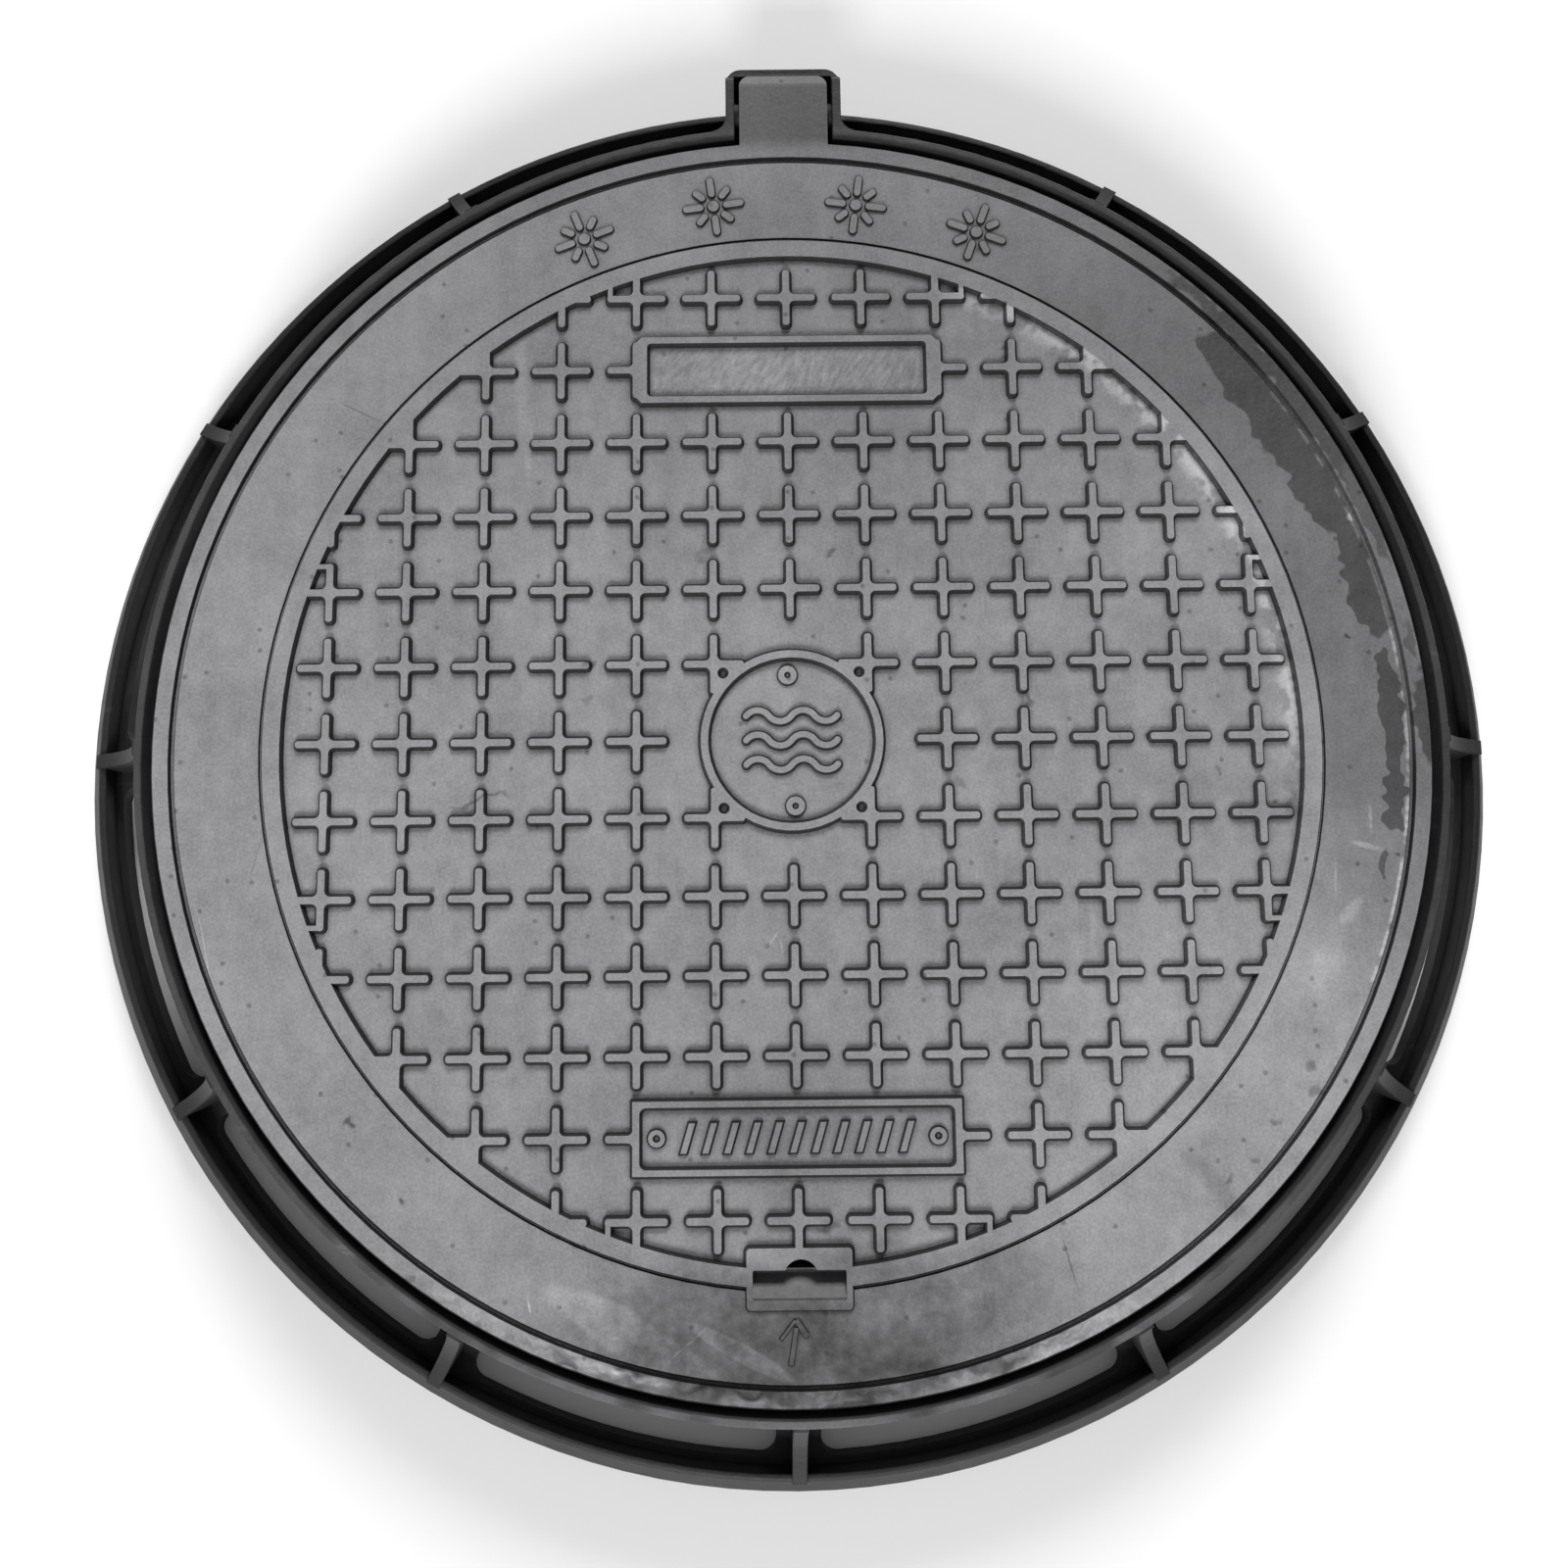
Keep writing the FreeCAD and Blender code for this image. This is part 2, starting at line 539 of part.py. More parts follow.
def make_spring():
    """Strip 2.5 thick: flat under its pad, bent down, with a nose below the ledge."""
    t = 2.5
    outer = [(-233.0, 58.0, 0), (-309.0, 58.0, 9.0), (-309.0, 22.5, 5.0), (-319.2, 15.0, 4.0),
             (-305.0, 4.0, 0), (-303.4, 6.0, 0), (-315.2, 15.1, 1.5), (-306.5, 21.5, 7.5),
             (-306.5, 58.0 - t, 6.5), (-233.0, 58.0 - t, 0)]
    strip = side_prism(outer, -17.0, 17.0)
    holes = [Part.makeCylinder(4.5, 10, V(x, -246.0, 52.0)) for x in (-11.0, 11.0)]
    window = plan_prism([(10.5, -286.0, 3), (10.5, -270.0, 3), (-10.5, -270.0, 3),
                         (-10.5, -286.0, 3)], 50.0, 60.0)
    return strip.cut(holes + [window])


def make_washers():
    out = []
    for x in (-11.0, 11.0):
        w = Part.makeCylinder(8.0, 1.6, V(x, -246.0, 53.9))
        out.append(w.cut(Part.makeCylinder(4.3, 4, V(x, -246.0, 53.0))))
    return Part.makeCompound(out)


def make_bolts():
    out = []
    for x in (-11.0, 11.0):
        pts = [V(x + 7.5 * math.cos(math.radians(60 * k + 30)),
                 -246.0 + 7.5 * math.sin(math.radians(60 * k + 30)), 48.6) for k in range(7)]
        head = Part.Face(Part.makePolygon(pts)).extrude(V(0, 0, 5.3))
        round_off = Part.makeCone(6.2, 9.7, 3.5, V(x, -246.0, 48.6)).fuse(
            Part.makeCylinder(9.7, 2.0, V(x, -246.0, 52.1)))
        head = head.common(round_off)
        shank = Part.makeCylinder(3.95, 15.0, V(x, -246.0, 53.0))
        tip = Part.makeCone(3.95, 3.2, 0.8, V(x, -246.0, 68.0))
        out.append(head.fuse([shank, tip]).removeSplitter())
    return Part.makeCompound(out)


# -------------------------------------------------------------------- export
for name, make in (("frame", make_frame), ("cover", make_cover),
                   ("seat_gasket", make_gasket), ("hinge_pin", make_pin),
                   ("lock_spring", make_spring), ("lock_bolts", make_bolts),
                   ("lock_washers", make_washers)):
    shape = make()
    if shape.ShapeType == "Compound" and len(shape.Solids) == 1:
        shape = shape.Solids[0]
    print(name, "valid" if shape.isValid() else "INVALID", len(shape.Solids), "solid(s)",
          len(shape.Faces), "faces, %.1f cm3" % (shape.Volume / 1000.0))
    shape.exportStep("parts/%s.step" % name)
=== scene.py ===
import math

import bpy
from mathutils import Matrix, Vector

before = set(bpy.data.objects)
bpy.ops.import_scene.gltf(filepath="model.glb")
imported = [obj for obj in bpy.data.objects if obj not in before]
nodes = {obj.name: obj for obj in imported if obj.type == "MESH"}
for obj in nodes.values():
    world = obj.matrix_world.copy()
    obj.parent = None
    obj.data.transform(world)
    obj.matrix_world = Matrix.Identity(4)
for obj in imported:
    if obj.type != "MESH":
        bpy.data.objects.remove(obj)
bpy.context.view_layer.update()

scene = bpy.context.scene
scene.view_settings.view_transform = "Standard"
scene.view_settings.look = "None"
scene.view_settings.exposure = 0.0
scene.view_settings.gamma = 1.0


# --------------------------------------------------------------- node helpers
class Tree:
    """Small helper for writing node trees as expressions."""

    def __init__(self, mat):
        self.t = mat.node_tree
        self.t.nodes.clear()
        self.out = self.t.nodes.new("ShaderNodeOutputMaterial")
        self.bsdf = self.t.nodes.new("ShaderNodeBsdfPrincipled")
        self.t.links.new(self.bsdf.outputs[0], self.out.inputs["Surface"])
        self.tc = self.t.nodes.new("ShaderNodeTexCoord")
        self.p = self.tc.outputs["Object"]
        self.n = self.tc.outputs["Normal"]

    def put(self, socket, value):
        if hasattr(value, "is_output"):
            self.t.links.new(value, socket)
        else:
            socket.default_value = value

    def math(self, op, a, b=0.0, c=None, clamp=False):
        n = self.t.nodes.new("ShaderNodeMath")
        n.operation = op
        n.use_clamp = clamp
        self.put(n.inputs[0], a)
        self.put(n.inputs[1], b)
        if c is not None:
            self.put(n.inputs[2], c)
        return n.outputs[0]

    def add(self, a, b):
        return self.math("ADD", a, b)

    def sub(self, a, b):
        return self.math("SUBTRACT", a, b)

    def mul(self, a, b):
        return self.math("MULTIPLY", a, b)

    def madd(self, a, b, c):
        return self.math("MULTIPLY_ADD", a, b, c)

    def most(self, a, b):
        return self.math("MAXIMUM", a, b)

    def least(self, a, b):
        return self.math("MINIMUM", a, b)

    def vmath(self, op, a, b=None, c=None, scale=None):
        n = self.t.nodes.new("ShaderNodeVectorMath")
        n.operation = op
        self.put(n.inputs[0], a)
        if b is not None:
            self.put(n.inputs[1], b)
        if c is not None:
            self.put(n.inputs[2], c)
        if scale is not None:
            self.put(n.inputs["Scale"], scale)
        return n.outputs["Value"] if op in ("LENGTH", "DOT_PRODUCT", "DISTANCE") else n.outputs["Vector"]

    def xyz(self, v):
        n = self.t.nodes.new("ShaderNodeSeparateXYZ")
        self.put(n.inputs[0], v)
        return n.outputs[0], n.outputs[1], n.outputs[2]

    def join(self, x, y, z):
        n = self.t.nodes.new("ShaderNodeCombineXYZ")
        for s, v in zip(n.inputs, (x, y, z)):
            self.put(s, v)
        return n.outputs[0]

    def span(self, v, a, b, c=0.0, d=1.0, smooth=True):
        """Maps v from a..b to c..d, clamped, with soft ends."""
        n = self.t.nodes.new("ShaderNodeMapRange")
        n.interpolation_type = "SMOOTHSTEP" if smooth else "LINEAR"
        n.clamp = True
        self.put(n.inputs["Value"], v)
        n.inputs["From Min"].default_value = a
        n.inputs["From Max"].default_value = b
        n.inputs["To Min"].default_value = c
        n.inputs["To Max"].default_value = d
        return n.outputs["Result"]

    def _noise(self, vec, scale, detail, rough, kind):
        n = self.t.nodes.new("ShaderNodeTexNoise")
        n.noise_dimensions = kind
        self.put(n.inputs["Vector"], vec)
        n.inputs["Scale"].default_value = scale
        n.inputs["Detail"].default_value = detail
        n.inputs["Roughness"].default_value = rough
        return n

    def noise(self, vec, scale, detail=3.0, rough=0.55):
        return self._noise(vec, scale, detail, rough, "3D").outputs["Fac"]

    def flat(self, vec, scale, detail=2.0, rough=0.55):
        """Noise in plan only, for the walking face."""
        return self._noise(vec, scale, detail, rough, "2D").outputs["Fac"]

    def wander(self, vec, scale, amount, detail=1.0, rough=0.55):
        """The point, pushed about sideways by plan noise of the given amount."""
        c = self._noise(vec, scale, detail, rough, "2D").outputs["Color"]
        c = self.vmath("SUBTRACT", c, (0.5, 0.5, 0.5))
        return self.vmath("ADD", vec, self.vmath("MULTIPLY", c, (amount, amount, 0.0)))

    def voronoi(self, vec, scale, feature="F1", rand=1.0):
        n = self.t.nodes.new("ShaderNodeTexVoronoi")
        n.feature = feature
        n.voronoi_dimensions = "2D"
        self.put(n.inputs["Vector"], vec)
        n.inputs["Scale"].default_value = scale
        n.inputs["Randomness"].default_value = rand
        return n.outputs["Distance"], n.outputs["Color"]

    def mapping(self, vec, loc=(0, 0, 0), rot=(0, 0, 0), scale=(1, 1, 1), kind="POINT"):
        n = self.t.nodes.new("ShaderNodeMapping")
        n.vector_type = kind
        self.put(n.inputs["Vector"], vec)
        n.inputs["Location"].default_value = loc
        n.inputs["Rotation"].default_value = rot
        n.inputs["Scale"].default_value = scale
        return n.outputs[0]

    def spot(self, vec, cx, cy, rx, ry, soft=0.5, inside=1.0, outside=0.0):
        """Ellipse in mm: inside value at its middle, outside value past its edge."""
        u = self.vmath("MULTIPLY_ADD", vec, (1000 / rx, 1000 / ry, 0.0), c=(-cx / rx, -cy / ry, 0.0))
        return self.span(self.vmath("LENGTH", u), 1.0 - soft, 1.0, inside, outside)

    def spots(self, vec, items, soft):
        """Many (x, y, rx, ry, degrees, strength) ellipses in mm, 0 outside all of them.

        Marks of one slant share a turned copy of the point, which steps from each
        mark's own scale to the next one's; each mark fades to the marks before it.
        """
        slants = {}
        for item in items:
            slants.setdefault(round(item[4] / 15.0) * 15 % 180, []).append(item)
        acc = 0.0
        for deg, marks in slants.items():
            a = math.radians(deg)
            ca, sa = math.cos(a), math.sin(a)
            u = self.mapping(vec, rot=(0.0, 0.0, -a)) if deg else vec
            px, py, sx, sy = 0.0, 0.0, 1.0, 1.0
            for cx, cy, rx, ry, _, k in marks:
                qx, qy = (cx * ca + cy * sa) / 1000, (cy * ca - cx * sa) / 1000
                kx, ky = 1000 / rx, 1000 / ry
                u = self.vmath("MULTIPLY_ADD", u, (kx / sx, ky / sy, 0.0),
                               c=((px - qx) * kx, (py - qy) * ky, 0.0))
                n = self.t.nodes.new("ShaderNodeMapRange")
                n.interpolation_type = "SMOOTHSTEP"
                n.clamp = True
                self.put(n.inputs["Value"], self.vmath("LENGTH", u))
                n.inputs["From Min"].default_value = 1.0 - soft
                n.inputs["From Max"].default_value = 1.0
                n.inputs["To Min"].default_value = k
                self.put(n.inputs["To Max"], acc)
                acc = n.outputs["Result"]
                px, py, sx, sy = qx, qy, kx, ky
        return acc

    def mix(self, fac, a, b):
        n = self.t.nodes.new("ShaderNodeMix")
        n.data_type = "FLOAT"
        self.put(n.inputs[0], fac)
        self.put(n.inputs[2], a)
        self.put(n.inputs[3], b)
        return n.outputs[0]

    def mix_rgb(self, fac, a, b):
        n = self.t.nodes.new("ShaderNodeMix")
        n.data_type = "RGBA"
        self.put(n.inputs[0], fac)
        self.put(n.inputs[6], a)
        self.put(n.inputs[7], b)
        return n.outputs[2]

    def grey(self, v, tint=(1.0, 1.0, 1.0)):
        n = self.t.nodes.new("ShaderNodeCombineColor")
        for s, k in zip(n.inputs, tint):
            self.put(s, v if k == 1.0 else self.mul(v, k))
        return n.outputs[0]

    def ao(self, distance, samples=6):
        n = self.t.nodes.new("ShaderNodeAmbientOcclusion")
        n.samples = samples
        n.only_local = True
        n.inputs["Distance"].default_value = distance
        return n.outputs["AO"]

    def bevel(self, radius, samples=4):
        n = self.t.nodes.new("ShaderNodeBevel")
        n.samples = samples
        n.inputs["Radius"].default_value = radius
        return n.outputs[0]

    def bump(self, height, strength, distance, normal=None):
        n = self.t.nodes.new("ShaderNodeBump")
        n.inputs["Strength"].default_value = strength
        n.inputs["Distance"].default_value = distance
        self.put(n.inputs["Height"], height)
        if normal is not None:
            self.put(n.inputs["Normal"], normal)
        return n.outputs[0]


def new_material(name):
    m = bpy.data.materials.new(name)
    m.use_nodes = True
    return m, Tree(m)


def give(node, mat):
    o = nodes[node]
    o.data.materials.clear()
    o.data.materials.append(mat)


# ------------------------------------------------------------------ cover iron
COVER_BASE = 0.230       # grey of the clean walking face
UNDER_BASE = 0.055       # black dip below and on the sides


def walking_face(zone):
    """Walking face of the cover: the relief field, or the plain band, rim and tongue round it."""
    mat, t = new_material("cover_" + zone)
    x, y, z = t.xyz(t.p)
    xy = t.join(x, y, 0.0)
    r = t.vmath("LENGTH", xy)
    ang = t.math("ARCTAN2", y, x)
    nx, _, nz = t.xyz(t.n)
    on_field = zone == "field"

    loose = t.wander(xy, 17.0, 0.058, 0.0)          # wandering outlines of broad stains
    ragged = t.wander(xy, 80.0, 0.013, 1.0, 0.8)    # torn outlines of small marks
    line = t.wander(xy, 26.0, 0.005, 0.0)           # slightly bent scratches

    # --- cast skin under a thin dip: clouds, mottling, brushed-on drag, grain
    cloud = t.flat(xy, 12.0, 1.0, 0.7)
    mottle = t.flat(xy, 54.0, 2.0, 0.85)
    grain = t.flat(xy, 640.0, 0.0, 0.5)
    drag = t.flat(t.mapping(xy, rot=(0, 0, math.radians(-8)), scale=(1.0, 0.16, 1.0)), 90.0, 1.0, 0.6)
    skin = t.madd(t.sub(cloud, 0.5), 0.36, 1.0)
    skin = t.madd(t.sub(mottle, 0.5), 0.42, skin)
    skin = t.madd(t.sub(drag, 0.5), 0.16, skin)
    skin = t.madd(t.sub(grain, 0.5), 0.30, skin)

    # --- broad painted shade and sheen: lighter to the left and lower right,
    # darker towards the hinge and the front, standing in for uneven light
    tone = t.mul(skin, t.spot(loose, 60, 260, 360, 230, 1.0, 0.74, 1.0))
    for cx, cy, rx, ry, soft, k in (
        (205, -185, 190, 150, 0.9, 1.22),
        (-215, 230, 200, 170, 1.0, 0.90),
        (-250, -60, 170, 200, 1.0, 1.07),
    ):
        tone = t.mul(tone, t.spot(loose, cx, cy, rx, ry, soft, k, 1.0))
    front = t.spot(loose, 0, -332, 185, 88, 0.8)
    tone = t.mul(tone, t.madd(front, -0.66, 1.0))
    tone = t.mul(tone, t.madd(t.mul(front, t.sub(mottle, 0.5)), 1.3, 1.0))

    if on_field:
        # painted shade: darker across the bottom of the field and a little to the upper right
        for cx, cy, rx, ry, soft, k in (
            (0, -205, 175, 72, 0.9, 0.79),
            (120, 100, 130, 110, 1.0, 0.94),
        ):
            tone = t.mul(tone, t.spot(loose, cx, cy, rx, ry, soft, k, 1.0))
        dark = t.spots(ragged, [
            (-112, 23, 4, 3, 0, 0.3), (21, 106, 5, 3.6, 0, 0.45), (-49, 107, 6, 4, 0, 0.35),
            (90, -24, 6, 5, 0, 0.30), (272, -35, 5, 14, 0, 0.35), (-170, -31, 26, 1.7, 8, 0.45),
            (16, -258, 7, 5, 15, 0.4), (-112, 42, 8, 4.2, 45, 0.50),
            (131, 22, 5, 2.5, -45, 0.5), (231, -19, 4, 1.6, 75, 0.35),
        ], 0.75)
        rubs_and_highlights = t.spots(line, [
            (-150, 204, 5, 42, 0, 0.16), (-146, 170, 3, 30, 0, 0.12), (160, -100, 2.5, 26, 0, 0.12),
            (-11, -106, 5.5, 0.7, 60, 0.3), (-7, -111, 5, 0.7, 105, 0.3),
        ], 0.7)
        wet = None
        # painted highlight: pale patches at the foot of the ring, on the right, where the light would catch it
        foot_highlight = t.mul(t.span(r, 0.2655, 0.2765), t.span(r, 0.2788, 0.2795, 1.0, 0.0))
        foot_highlight = t.mul(foot_highlight, t.mul(t.span(ang, math.radians(-12), math.radians(8)),
                                 t.span(ang, math.radians(64), math.radians(74), 1.0, 0.0)))
        tone = t.mul(tone, t.madd(t.mul(foot_highlight, t.span(mottle, 0.42, 0.58)), 0.80, 1.0))
        # brushed inside of the blank upper plate
        plate = t.mul(t.span(t.math("ABSOLUTE", x), 0.0755, 0.0775, 1.0, 0.0),
                      t.span(t.math("ABSOLUTE", t.sub(y, 0.2125)), 0.0125, 0.0142, 1.0, 0.0))
        hatch = t.flat(t.mapping(line, rot=(0, 0, math.radians(58)), scale=(3.4, 1.0, 1.0), kind="TEXTURE"), 370.0, 1.0, 0.6)
        tone = t.mul(tone, t.madd(t.mul(plate, t.sub(hatch, 0.38)), 0.8, 1.0))
    else:
        lx, ly, _ = t.xyz(loose)
        lang = t.math("ARCTAN2", ly, lx)
        # painted shade: the outer band is darker on the right and towards the hinge
        right_band_shade = t.mul(t.span(lang, math.radians(-24), math.radians(-6)),
                     t.span(lang, math.radians(50), math.radians(72), 1.0, 0.0))
        back = t.mul(t.span(lang, math.radians(56), math.radians(70)),
                     t.span(lang, math.radians(104), math.radians(128), 1.0, 0.0))
        outer = t.span(r, 0.2885, 0.2915)
        tone = t.mul(tone, t.madd(t.mul(right_band_shade, outer), -0.40, 1.0))
        tone = t.mul(tone, t.madd(t.mul(back, outer), -0.13, 1.0))
        tone = t.mul(tone, t.span(y, 0.342, 0.354, 1.0, 0.50))      # the tongue is darker
        tone = t.mul(tone, t.span(y, 0.3858, 0.3875, 1.0, 1.7))     # and has a painted highlight along its rounded end

        # wet ragged streak along the inside of the rim groove, on the right
        rx_, ry_, _ = t.xyz(ragged)
        arc = t.join(t.mul(t.math("ARCTAN2", ry_, rx_), 0.325), t.vmath("LENGTH", ragged), 0.0)
        wet = t.spots(arc, [
            (188, 329.5, 68, 16.5, 0, 1.0), (222, 327, 30, 9, 0, 1.0), (150, 328, 38, 14, 0, 1.0),
            (82, 331, 30, 11.5, 0, 1.0), (103, 333, 24, 7, 0, 1.0), (22, 329.5, 26, 7.0, 0, 1.0),
            (-8, 330.0, 46, 5.4, 0, 1.0), (-34, 329.5, 20, 6.2, 0, 1.0), (-71, 329, 9, 3.8, 0, 0.9),
        ], 0.10)
        wet = t.mul(wet, t.span(r, 0.3375, 0.3385, 1.0, 0.0))
        rim = t.span(r, 0.3395, 0.3405)
        on_rim = t.spots(arc, [
            (205, 345, 95, 7, 0, 0.9), (120, 347, 34, 5, 0, 0.7), (8, 347, 30, 6.5, 0, 0.95),
            (48, 345, 12, 4, 0, 0.6),
        ], 0.25)
        wet = t.most(wet, t.mul(on_rim, rim))
        tone = t.mul(tone, t.madd(wet, -0.58, 1.0))

        # rim: painted shade darker towards the hinge, scraped in light and dark patches at the front
        tone = t.mul(tone, t.madd(t.mul(rim, t.span(y, 0.05, 0.30)), -0.16, 1.0))
        scrape = t.flat(t.mapping(arc, loc=(0.037, 0.0, 0.0), scale=(0.30, 1.0, 1.0)), 110.0, 2.0, 0.6)
        scrape = t.mul(t.sub(scrape, 0.48), t.mul(rim, t.span(y, -0.27, -0.325)))
        tone = t.mul(tone, t.madd(scrape, 3.2, 1.0))

        dark = t.spots(ragged, [
            (307, 53, 2.2, 2.0, 0, 0.7), (-237, -203, 3.0, 2.2, 0, 0.6),
            (-208, -242, 2.6, 3.6, 0, 0.65),
            (251, -208, 5, 3, 0, 0.35), (227, -236, 3.5, 3, 0, 0.40),
            (62, -330, 40, 5, 0, 0.30), (-118, -268, 3.5, 3.5, 0, 0.5), (-204, -281, 5, 3, 30, 0.4),
            (242, -226, 6, 4, 30, 0.35), (275, -177, 4.5, 4, -30, 0.45), (276, -192, 5, 3.5, -30, 0.40), (-36, -319, 13, 7, -30, 0.35),
        ], 0.75)
        dark = t.most(dark, t.spot(loose, 213, -247, 17, 14, 0.8, 0.24, 0.0))
        score = t.spots(line, [
            (-241, 190, 23, 0.55, -33, 0.45), (141, -279, 0.8, 20, 15, 0.42),
            (-290, -60, 24, 0.5, 75, 0.25),
        ], 0.8)
        dark = t.most(dark, score)
        # light rubs; the thin upright mark on the lifting pocket's ramp, at (9.5, -288.5), is a painted highlight
        rubs_and_highlights = t.spots(line, [
            (-104, -328, 16, 3.4, -15, 0.75), (-76, -336, 13, 3.4, -15, 0.75), (-31, -345, 20, 3.4, 0, 0.55),
            (314, -46, 1.4, 10, 0, 0.35), (292, -76, 1.2, 16, 0, 0.22),
            (-318, -110, 0.5, 34, 15, 0.3), (-140, -297, 0.8, 7, 15, 0.55),
            (311, -60, 13, 2.0, -15, 0.40), (300, -95, 13, 5, 52, 0.30),
            (283, -128, 22, 13, 60, 0.14), (-58, -316, 17, 0.55, 40, 0.5), (9.5, -288.5, 0.8, 6.0, 0, 0.6),
        ], 0.7)
        # two flat wiped strips that slant across the front of the band
        wipe = t.spots(line, [(-84, -316, 62, 13, -35, 0.55), (-31, -321, 35, 5.4, -30, 0.75)], 0.28)
        tone = t.mul(tone, t.madd(wipe, t.span(r, 0.3375, 0.3385, 0.80, 0.0), 1.0))
        # painted highlight along the edge of the groove, on the right, broken up by mottling
        groove_highlight = t.mul(t.span(t.math("ABSOLUTE", t.sub(r, 0.3368)), 0.0006, 0.0015, 1.0, 0.0),
                     t.mul(t.span(mottle, 0.40, 0.54), t.span(lang, math.radians(-30), math.radians(-15))))
        groove_highlight = t.mul(groove_highlight, t.span(lang, math.radians(30), math.radians(42), 0.8, 0.0))
        rubs_and_highlights = t.most(rubs_and_highlights, groove_highlight)
        # and the painted shade on the groove's walls is weakened there
        kept = t.mul(t.span(lang, math.radians(-4), math.radians(6)),
                     t.span(lang, math.radians(34), math.radians(46), 1.0, 0.0))
        near = t.span(t.math("ABSOLUTE", t.sub(r, 0.3390)), 0.0035, 0.0045, 1.0, 0.0)
        kept = t.madd(t.mul(kept, near), -0.65, 1.0)

    # --- painted light on the ramp of the lifting pocket: greyer than the face round it, and brightest at its deep end, which lies in shadow
    ramp = t.mul(t.span(t.math("ABSOLUTE", x), 0.0236, 0.0246, 1.0, 0.0),
                 t.mul(t.span(y, -0.2955, -0.2945), t.span(y, -0.2808, -0.2802, 1.0, 0.0)))
    ramp = t.mul(ramp, t.span(nz, 0.82, 0.92))
    tone = t.mix(ramp, tone, t.mul(t.mul(skin, t.madd(drag, 0.40, 0.90)), t.span(y, -0.2925, -0.2835, 0.95, 1.75)))

    tone = t.mul(tone, t.sub(1.0, dark))
    fine = t.flat(t.mapping(xy, rot=(0, 0, math.radians(28)), scale=(0.05, 1.0, 1.0)), 440.0, 0.0, 0.6)
    rubs_and_highlights = t.mul(rubs_and_highlights, t.madd(fine, 1.1, 0.45))
    tone = t.mul(tone, t.madd(rubs_and_highlights, 1.25, 1.0))

    # --- fine dark specks, thicker on the left band
    d, c = t.voronoi(xy, 72.0)
    many = 0.90 if on_field else t.span(x, -0.30, -0.15, 0.80, 0.90)
    speck = t.mul(t.span(d, 0.055, 0.13, 1.0, 0.0), t.math("GREATER_THAN", t.xyz(c)[0], many))
    tone = t.mul(tone, t.madd(speck, -0.40, 1.0))

    # --- painted shade on steep walls and in the creases at their feet (from ambient occlusion),
    # lighter on the walls that face left, as if lit from there
    steep_shade = t.mul(t.span(nz, 0.66, 0.95, 1.0, 0.0), t.sub(1.0, ramp))
    steep_shade = t.mul(steep_shade, t.span(nx, -0.75, -0.15, 0.84, 1.0))
    crease_shade = t.span(t.ao(0.0036, 2), 0.55, 0.96, 1.0, 0.0)
    crease_shade = t.mul(crease_shade, t.madd(ramp, -0.6, 1.0))
    if wet is not None:
        steep_shade, crease_shade = t.mul(steep_shade, kept), t.mul(crease_shade, kept)
    tone = t.mul(tone, t.madd(steep_shade, -0.90, 1.0))
    tone = t.mul(tone, t.madd(crease_shade, -0.80, 1.0))

    t.put(t.bsdf.inputs["Base Color"], t.grey(t.mul(tone, COVER_BASE), (1.0, 1.0, 1.035)))
    rough = t.madd(mottle, 0.22, 0.52)
    if wet is not None:
        rough = t.madd(wet, -0.14, rough)
    t.put(t.bsdf.inputs["Roughness"], t.madd(rubs_and_highlights, -0.20, rough))
    t.bsdf.inputs["Specular IOR Level"].default_value = 0.22
    t.put(t.bsdf.inputs["Normal"], t.bump(t.flat(xy, 210.0, 1.0, 0.9), 0.58, 0.0007))
    return mat


def underside():
    """Thick black dip on the ribs, the seat and the sides of the cover."""
    mat, t = new_material("cover_underside")
    mottle = t.noise(t.p, 55.0, 3.0, 0.65)
    grain = t.noise(t.p, 560.0, 1.0, 0.5)
    runs = t.noise(t.mapping(t.p, scale=(1.0, 1.0, 0.12)), 90.0, 2.0, 0.6)
    g = t.madd(t.sub(mottle, 0.5), 0.05, UNDER_BASE)
    g = t.madd(t.sub(runs, 0.5), 0.03, g)
    g = t.madd(t.sub(grain, 0.5), 0.025, g)
    t.put(t.bsdf.inputs["Base Color"], t.grey(g, (1.0, 1.0, 1.035)))
    t.put(t.bsdf.inputs["Roughness"], t.madd(mottle, 0.24, 0.36))
    t.bsdf.inputs["Specular IOR Level"].default_value = 0.4
    t.put(t.bsdf.inputs["Normal"], t.bump(t.noise(t.p, 190.0, 2.0, 0.66), 0.45, 0.0007))
    return mat


def paint_cover():
    me = nodes["cover"].data
    me.materials.clear()
    for m in (walking_face("field"), walking_face("band"), underside()):
        me.materials.append(m)
    index = []
    for f in me.polygons:
        c = f.center
        if min(me.vertices[i].co.z for i in f.vertices) < 0.0720:
            index.append(2)
        else:
            index.append(1 if math.hypot(c.x, c.y) > 0.2865 or c.y < -0.266 else 0)
    me.polygons.foreach_set("material_index", index)


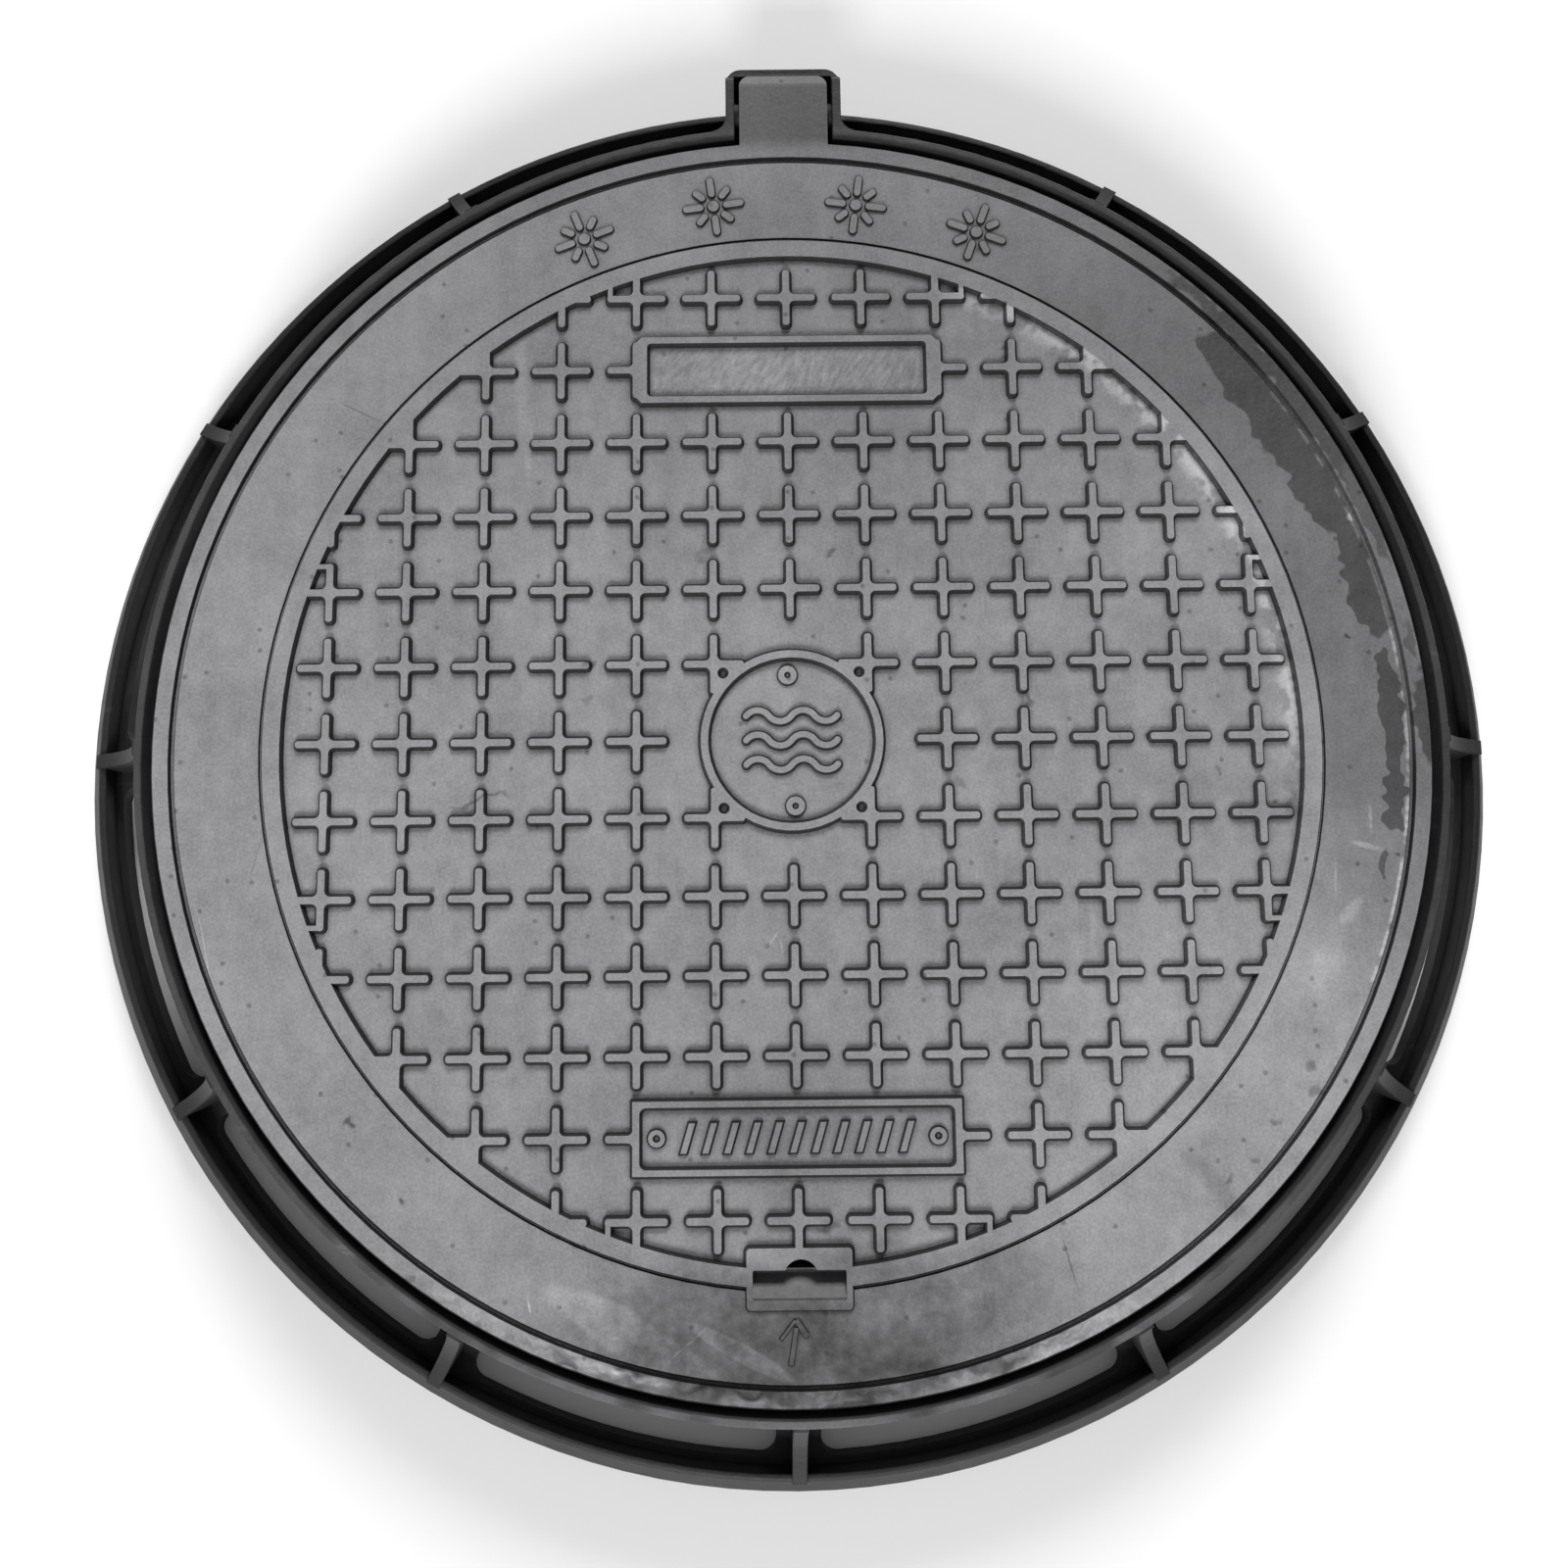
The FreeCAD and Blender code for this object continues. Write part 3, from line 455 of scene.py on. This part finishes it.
# ------------------------------------------------------------------ frame iron
def frame_material():
    mat, t = new_material("frame_iron")
    x, y, z = t.xyz(t.p)
    nz = t.xyz(t.n)[2]
    cloud = t.noise(t.p, 14.0, 2.0, 0.6)
    mottle = t.noise(t.p, 60.0, 3.0, 0.62)
    grain = t.noise(t.p, 560.0, 1.0, 0.5)
    g = t.madd(t.sub(cloud, 0.5), 0.5, 1.0)
    g = t.madd(t.sub(mottle, 0.5), 0.5, g)
    g = t.madd(t.sub(grain, 0.5), 0.35, g)
    # rubbed along the top of the wall; painted shade in the creases from ambient occlusion
    top = t.mul(t.span(z, 0.0768, 0.0788), t.span(nz, 0.4, 0.9))
    worn = t.mul(top, t.span(t.noise(t.p, 26.0, 2.0), 0.35, 0.6))
    g = t.mul(g, t.madd(t.mul(worn, t.span(y, -0.20, -0.34)), 1.3, 1.0))
    # painted shade: darker towards the back, on the hinge box and on the right, black on the box's back wall where
    # it lies in shadow; darker low down and lighter high up
    g = t.mul(g, t.span(y, 0.10, 0.34, 1.0, 0.62))
    g = t.mul(g, t.span(y, 0.355, 0.365, 1.0, 0.55))
    g = t.mul(g, t.span(y, 0.3955, 0.3965, 1.0, 0.14))
    g = t.mul(g, t.span(x, 0.20, 0.36, 1.0, 0.72))
    g = t.mul(g, t.span(z, 0.03, 0.06, 0.48, 1.15))
    scuff = t.noise(t.mapping(t.p, rot=(0, 0, 0.5), scale=(0.06, 1.0, 1.0)), 160.0, 3.0, 0.6)
    g = t.mul(g, t.madd(t.span(scuff, 0.60, 0.74), 0.45, 1.0))
    # painted shade in the creases from ambient occlusion
    crease_shade = t.span(t.ao(0.0090, 1), 0.35, 0.95, 1.0, 0.0)
    g = t.mul(g, t.madd(crease_shade, -0.62, 1.0))
    t.put(t.bsdf.inputs["Base Color"], t.grey(t.mul(g, 0.046), (1.0, 1.0, 1.04)))
    t.put(t.bsdf.inputs["Roughness"], t.madd(mottle, 0.24, 0.42))
    t.bsdf.inputs["Specular IOR Level"].default_value = 0.22
    height = t.madd(grain, 0.4, t.mul(t.noise(t.p, 160.0, 2.0, 0.62), 0.9))
    t.put(t.bsdf.inputs["Normal"], t.bump(height, 0.4, 0.0007, t.bevel(0.0014, 1)))
    return mat


def steel_material(name, base, rough, tint=(1.0, 1.0, 1.0), along=None, rust=0.0):
    """Small steel piece: drawn or plated, dulled by handling, with a little rust if asked."""
    mat, t = new_material(name)
    n = t.noise(t.p, 120.0, 4.0, 0.6)
    fine = t.noise(t.mapping(t.p, scale=along or (1.0, 1.0, 1.0)), 1400.0, 2.0, 0.5)
    g = t.madd(t.sub(n, 0.5), base * 0.8, base)
    g = t.madd(t.sub(fine, 0.5), base * 0.5, g)
    col = t.grey(g, tint)
    spots = t.span(t.noise(t.p, 85.0, 5.0, 0.7), 0.60 - 0.12 * rust, 0.72)
    if rust:
        col = t.mix_rgb(t.mul(spots, rust), col, (0.085, 0.035, 0.015, 1.0))
    t.put(t.bsdf.inputs["Base Color"], col)
    t.put(t.bsdf.inputs["Metallic"], t.madd(spots, -rust, 1.0) if rust else 1.0)
    t.put(t.bsdf.inputs["Roughness"], t.madd(n, 0.20, rough))
    t.put(t.bsdf.inputs["Normal"], t.bump(fine, 0.25, 0.0002, t.bevel(0.0004, 4)))
    return mat


def rubber_material():
    mat, t = new_material("rubber")
    n = t.noise(t.p, 55.0, 4.0, 0.6)
    dust = t.span(t.noise(t.p, 18.0, 5.0, 0.65), 0.50, 0.75)
    g = t.madd(n, 0.014, 0.012)
    g = t.madd(dust, 0.02, g)
    t.put(t.bsdf.inputs["Base Color"], t.grey(g))
    t.put(t.bsdf.inputs["Roughness"], t.madd(n, 0.2, 0.55))
    t.put(t.bsdf.inputs["Normal"], t.bump(t.noise(t.p, 700.0, 2.0), 0.2, 0.0003))
    return mat


paint_cover()
give("frame", frame_material())
give("seat_gasket", rubber_material())
give("hinge_pin", steel_material("pin_steel", 0.05, 0.58, (1.0, 0.96, 0.92), (0.05, 1.0, 1.0), 0.85))
give("lock_spring", steel_material("spring_steel", 0.10, 0.30, (0.95, 0.98, 1.08), (1.0, 0.05, 1.0)))
fastener = steel_material("fastener_steel", 0.20, 0.44, (1.0, 0.985, 0.94), None, 0.35)
give("lock_bolts", fastener)
give("lock_washers", fastener)

for o in nodes.values():
    o.data.shade_smooth()
    o.data.set_sharp_from_angle(angle=math.radians(24))


# ------------------------------------------------------------ floor and lights
def build_floor():
    me = bpy.data.meshes.new("floor")
    s = 8.0
    me.from_pydata([(-s, -s, 0), (s, -s, 0), (s, s, 0), (-s, s, 0)], [], [(0, 1, 2, 3)])
    o = bpy.data.objects.new("floor", me)
    scene.collection.objects.link(o)
    m, t = new_material("floor_pale")
    n = t.noise(t.p, 3.0, 2.0)
    t.put(t.bsdf.inputs["Base Color"], t.grey(t.madd(n, 0.01, 0.855)))
    t.bsdf.inputs["Roughness"].default_value = 0.9
    t.bsdf.inputs["Specular IOR Level"].default_value = 0.1
    me.materials.append(m)


def area(name, loc, target, size, power, size_y=None):
    li = bpy.data.lights.new(name, "AREA")
    li.shape = "RECTANGLE"
    li.size = size
    li.size_y = size_y or size
    li.energy = power
    o = bpy.data.objects.new(name, li)
    o.location = loc
    d = Vector(target) - Vector(loc)
    o.rotation_euler = d.to_track_quat("-Z", "Y").to_euler()
    scene.collection.objects.link(o)
    return o


build_floor()
world = bpy.data.worlds.new("studio")
world.use_nodes = True
world.node_tree.nodes["Background"].inputs[0].default_value = (1.0, 1.0, 1.0, 1.0)
world.node_tree.nodes["Background"].inputs[1].default_value = 0.30
scene.world = world
area("key", (0.34, 4.85, 3.21), (0, 0, 0.05), 1.7, 280.0)
area("fill", (-0.60, -4.82, 3.21), (0, 0, 0.05), 1.7, 305.0)

# ---------------------------------------------------------------------- camera
cam_data = bpy.data.cameras.new("camera")
cam_data.sensor_fit = "HORIZONTAL"
cam_data.sensor_width = 36.0
cam_data.lens = 33.75
cam_data.shift_x = 0.0169
cam_data.shift_y = -0.0008
cam_data.clip_start = 0.01
cam = bpy.data.objects.new("camera", cam_data)
cam.matrix_world = Matrix((
    (0.999941, 0.010598, -0.002347, -0.0210),
    (-0.010816, 0.990993, -0.133478, -0.13037),
    (0.000912, 0.133496, 0.991049, 0.87253),
    (0.0, 0.0, 0.0, 1.0),
))
scene.collection.objects.link(cam)
scene.camera = cam
